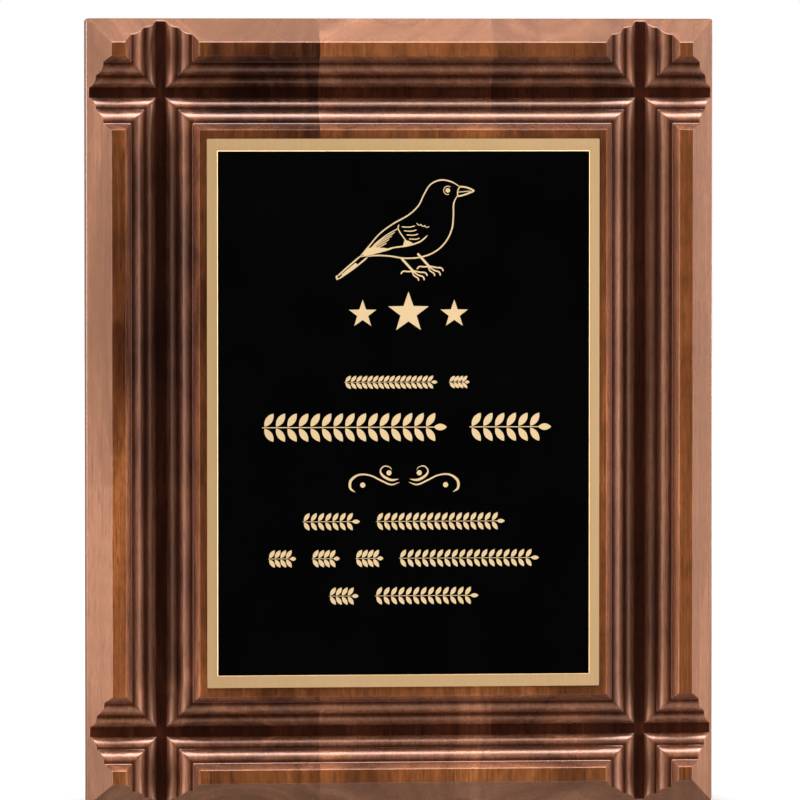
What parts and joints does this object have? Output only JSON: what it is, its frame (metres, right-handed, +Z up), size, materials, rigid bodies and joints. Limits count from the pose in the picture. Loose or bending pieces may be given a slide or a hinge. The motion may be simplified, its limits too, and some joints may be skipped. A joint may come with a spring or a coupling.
{
  "type": "wooden award plaque",
  "caption": "Rectangular walnut wall plaque with a stepped moulding, a gold-bordered black engraved plate on the front and a keyhole hanger let into the back.",
  "frame": {"origin": "the middle of the flat back, in the plane that lies against the wall", "axes": "+X across the board to the right seen from the front, +Z up, +Y into the wall; the engraved front faces -Y"},
  "size_m": [0.2032, 0.0235, 0.254],
  "materials": {
    "walnut_left": "satin lacquered walnut, straight vertical grain, darker beside the glue joint",
    "walnut_centre": "satin lacquered walnut, the lightest of the staves",
    "walnut_right": "satin lacquered walnut, straight vertical grain",
    "adhesive": "thin double-sided adhesive sheet",
    "gold_plate": "gold-coloured brass sheet, finely brushed from top to bottom",
    "black_lacquer": "smooth black lacquer on brass sheet",
    "engraved_brass": "bright bare brass where the lacquer is cut away",
    "hanger_steel": "zinc-plated pressed steel",
    "screw_steel": "zinc-plated steel, cross drive"
  },
  "bodies": {
    "root": {"left_stave": "walnut_left", "centre_stave": "walnut_centre", "right_stave": "walnut_right", "backer_tape": "adhesive", "backer_plate": "gold_plate", "face_tape": "adhesive", "face_plate": "black_lacquer", "keyhole_hanger": "hanger_steel", "hanger_screws": "screw_steel"}
  },
  "joints": []
}
